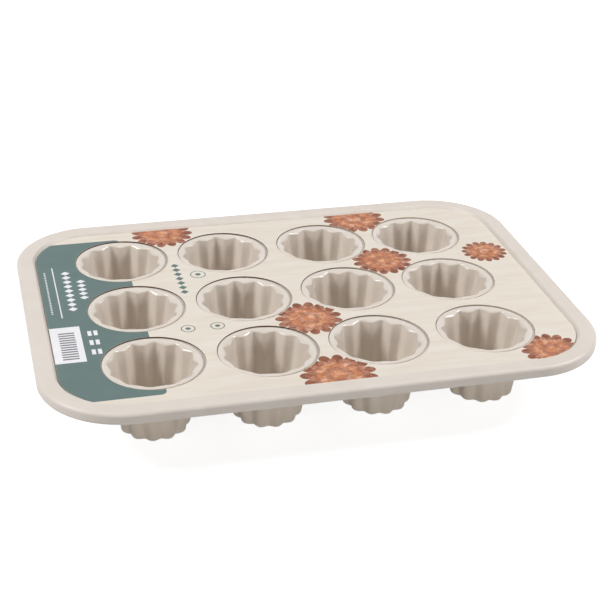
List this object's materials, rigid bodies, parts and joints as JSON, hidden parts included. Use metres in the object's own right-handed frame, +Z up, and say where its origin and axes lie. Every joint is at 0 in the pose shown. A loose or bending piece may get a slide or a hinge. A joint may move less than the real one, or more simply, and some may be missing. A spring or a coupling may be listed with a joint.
{
  "type": "canele pan",
  "caption": "Rectangular baking pan with rounded corners, a flat raised rim, fluted tapered cups pressed into a recessed plate, and a lift-off label card.",
  "frame": {"origin": "centre of the pan in plan, at the level of the cups' flat bottoms", "axes": "+X along the long side, +Y away from the viewer of the picture, +Z up out of the cups"},
  "size_m": [0.373, 0.272, 0.048],
  "materials": {
    "coated_steel": "satin beige nonstick coating",
    "wire": "bare drawn wire",
    "card": "printed uncoated card",
    "glue": "soft peel-off glue"
  },
  "bodies": {
    "pan": {"top_plate": "coated_steel", "rim_wire": "wire", "cup_row1_col1": "coated_steel", "cup_row1_col2": "coated_steel", "cup_row1_col3": "coated_steel", "cup_row1_col4": "coated_steel", "cup_row2_col1": "coated_steel", "cup_row2_col2": "coated_steel", "cup_row2_col3": "coated_steel", "cup_row2_col4": "coated_steel", "cup_row3_col1": "coated_steel", "cup_row3_col2": "coated_steel", "cup_row3_col3": "coated_steel", "cup_row3_col4": "coated_steel"},
    "card": {"label_card": "card", "glue_dot_1": "glue", "glue_dot_2": "glue", "glue_dot_3": "glue", "glue_dot_4": "glue", "glue_dot_5": "glue", "glue_dot_6": "glue"}
  },
  "joints": [
    {"name": "card_lift", "type": "slide", "parent": "pan", "child": "card", "axis": [0, 0, 1], "range_m": [0, 0.06]}
  ]
}
